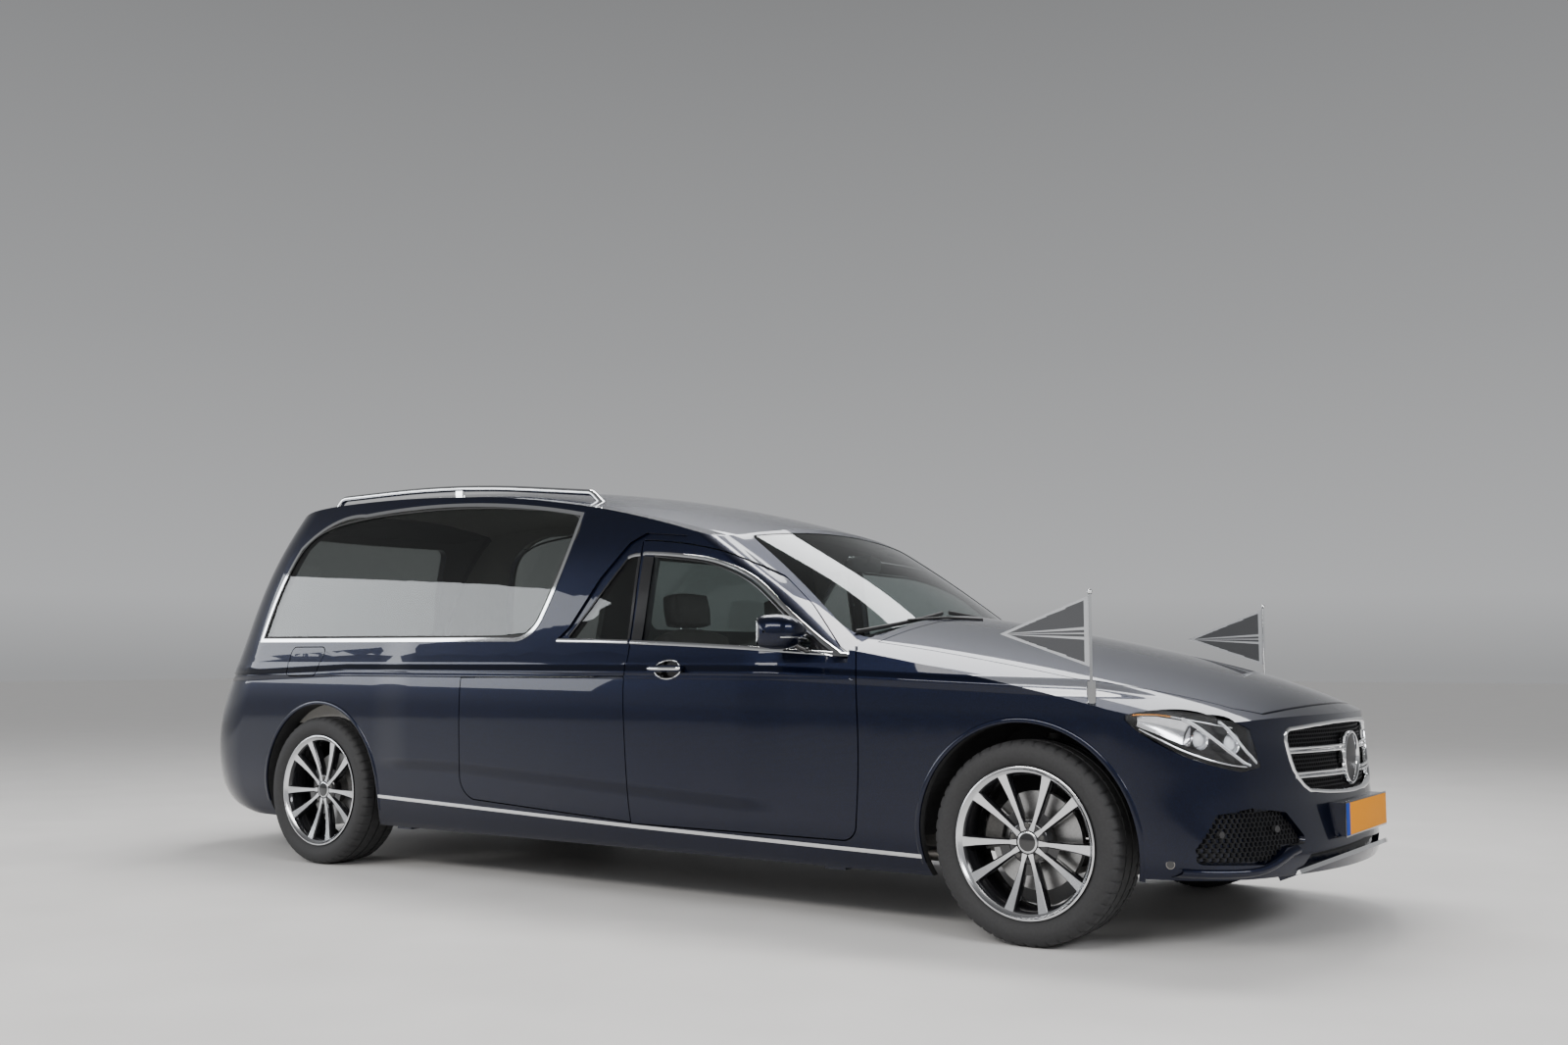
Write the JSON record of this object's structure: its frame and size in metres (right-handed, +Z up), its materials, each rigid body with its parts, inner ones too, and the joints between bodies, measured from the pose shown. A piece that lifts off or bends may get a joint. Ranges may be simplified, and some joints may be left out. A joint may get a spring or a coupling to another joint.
{
  "type": "hearse",
  "caption": "Long estate-bodied hearse with opening doors, side hatches, tailgate and bonnet, steered front wheels, free-turning wheels, roof rails and wing pennants.",
  "frame": {"origin": "on the ground, at the middle of the vehicle's length and width", "axes": "+X forward, +Y to the car's left, +Z up"},
  "size_m": [5.6615, 2.062, 1.7659],
  "materials": {
    "paint": "gloss metallic",
    "glass": "clear",
    "chrome": "polished",
    "lamp_red": "clear red",
    "lamp_clear": "clear",
    "underbody": "matte",
    "deck": "brushed",
    "interior": "soft",
    "leather": "grained",
    "engine": "plain",
    "running_gear": "painted black",
    "alloy": "machined and gloss black",
    "tyre": "rubber",
    "black_gloss": "gloss",
    "fabric": "woven",
    "exhaust": "dull"
  },
  "bodies": {
    "body": {"body_shell": "paint", "roof_panel": "paint", "front_body": "paint", "front_bumper": "paint", "rear_bumper": "paint", "grille": "chrome", "headlamps": "lamp_clear", "tail_lamps": "lamp_red", "windscreen": "glass", "side_windows": "glass", "window_trims": "chrome", "sill_trims": "chrome", "roof_rails": "chrome", "flag_poles": "chrome", "pennants": "fabric", "floor_pan": "underbody", "coffin_deck": "deck", "partition": "interior", "dashboard": "interior", "front_seats": "leather", "interior_mirror": "black_gloss", "engine": "engine", "front_subframe": "running_gear", "rear_axle": "running_gear", "exhaust": "exhaust"},
    "door_right": {"door_right": "paint", "door_glass_right": "glass", "mirror_right": "black_gloss"},
    "door_left": {"door_left": "paint", "door_glass_left": "glass", "mirror_left": "black_gloss"},
    "hatch_right": {"hatch_right": "paint"},
    "hatch_left": {"hatch_left": "paint"},
    "tailgate": {"tailgate": "paint", "tailgate_glass": "glass"},
    "bonnet": {"bonnet": "paint"},
    "fuel_flap": {"fuel_flap": "paint"},
    "knuckle_right": {"knuckle_right": "running_gear"},
    "knuckle_left": {"knuckle_left": "running_gear"},
    "wheel_front_right": {"rim_front_right": "alloy", "tyre_front_right": "tyre"},
    "wheel_front_left": {"rim_front_left": "alloy", "tyre_front_left": "tyre"},
    "wheel_rear_right": {"rim_rear_right": "alloy", "tyre_rear_right": "tyre"},
    "wheel_rear_left": {"rim_rear_left": "alloy", "tyre_rear_left": "tyre"},
    "steering_wheel": {"steering_wheel": "interior"}
  },
  "joints": [
    {"name": "door_right_hinge", "type": "hinge", "parent": "body", "child": "door_right", "pos_m": [1.283, -0.9235, 0.65], "axis": [0, 0, 1], "range_deg": [0, 68]},
    {"name": "door_left_hinge", "type": "hinge", "parent": "body", "child": "door_left", "pos_m": [1.283, 0.9235, 0.65], "axis": [0, 0, -1], "range_deg": [0, 68]},
    {"name": "hatch_right_hinge", "type": "hinge", "parent": "body", "child": "hatch_right", "pos_m": [0.221, -0.9275, 0.6], "axis": [0, 0, 1], "range_deg": [0, 70]},
    {"name": "hatch_left_hinge", "type": "hinge", "parent": "body", "child": "hatch_left", "pos_m": [0.221, 0.9275, 0.6], "axis": [0, 0, -1], "range_deg": [0, 70]},
    {"name": "tailgate_hinge", "type": "hinge", "parent": "body", "child": "tailgate", "pos_m": [-2.149, 0, 1.742], "axis": [0, 1, 0], "range_deg": [0, 85]},
    {"name": "bonnet_hinge", "type": "hinge", "parent": "body", "child": "bonnet", "pos_m": [1.297, 0, 1.112], "axis": [0, -1, 0], "range_deg": [0, 50]},
    {"name": "fuel_flap_hinge", "type": "hinge", "parent": "body", "child": "fuel_flap", "pos_m": [-1.692, -0.914, 0.93], "axis": [0, 0, 1], "range_deg": [0, 110]},
    {"name": "steer_right", "type": "hinge", "parent": "body", "child": "knuckle_right", "pos_m": [1.932, -0.7475, 0.3], "axis": [0, 0, 1], "range_deg": [-35, 35]},
    {"name": "steer_left", "type": "hinge", "parent": "body", "child": "knuckle_left", "pos_m": [1.932, 0.7475, 0.3], "axis": [0, 0, 1], "range_deg": [-35, 35]},
    {"name": "steering_wheel_turn", "type": "hinge", "parent": "body", "child": "steering_wheel", "pos_m": [0.69, 0.37, 0.93], "axis": [-0.9063, 0, 0.4226], "range_deg": [-455, 455]},
    {"name": "spin_front_right", "type": "hinge", "parent": "knuckle_right", "child": "wheel_front_right", "pos_m": [1.932, -0.8025, 0.338], "axis": [0, 1, 0], "continuous": true},
    {"name": "spin_front_left", "type": "hinge", "parent": "knuckle_left", "child": "wheel_front_left", "pos_m": [1.932, 0.8025, 0.338], "axis": [0, 1, 0], "continuous": true},
    {"name": "spin_rear_right", "type": "hinge", "parent": "body", "child": "wheel_rear_right", "pos_m": [-1.668, -0.8095, 0.338], "axis": [0, 1, 0], "continuous": true},
    {"name": "spin_rear_left", "type": "hinge", "parent": "body", "child": "wheel_rear_left", "pos_m": [-1.668, 0.8095, 0.338], "axis": [0, 1, 0], "continuous": true}
  ],
  "couplings": [
    {"joint": "steer_left", "follows": "steer_right", "ratio": 1},
    {"joint": "steering_wheel_turn", "follows": "steer_right", "ratio": -13}
  ]
}
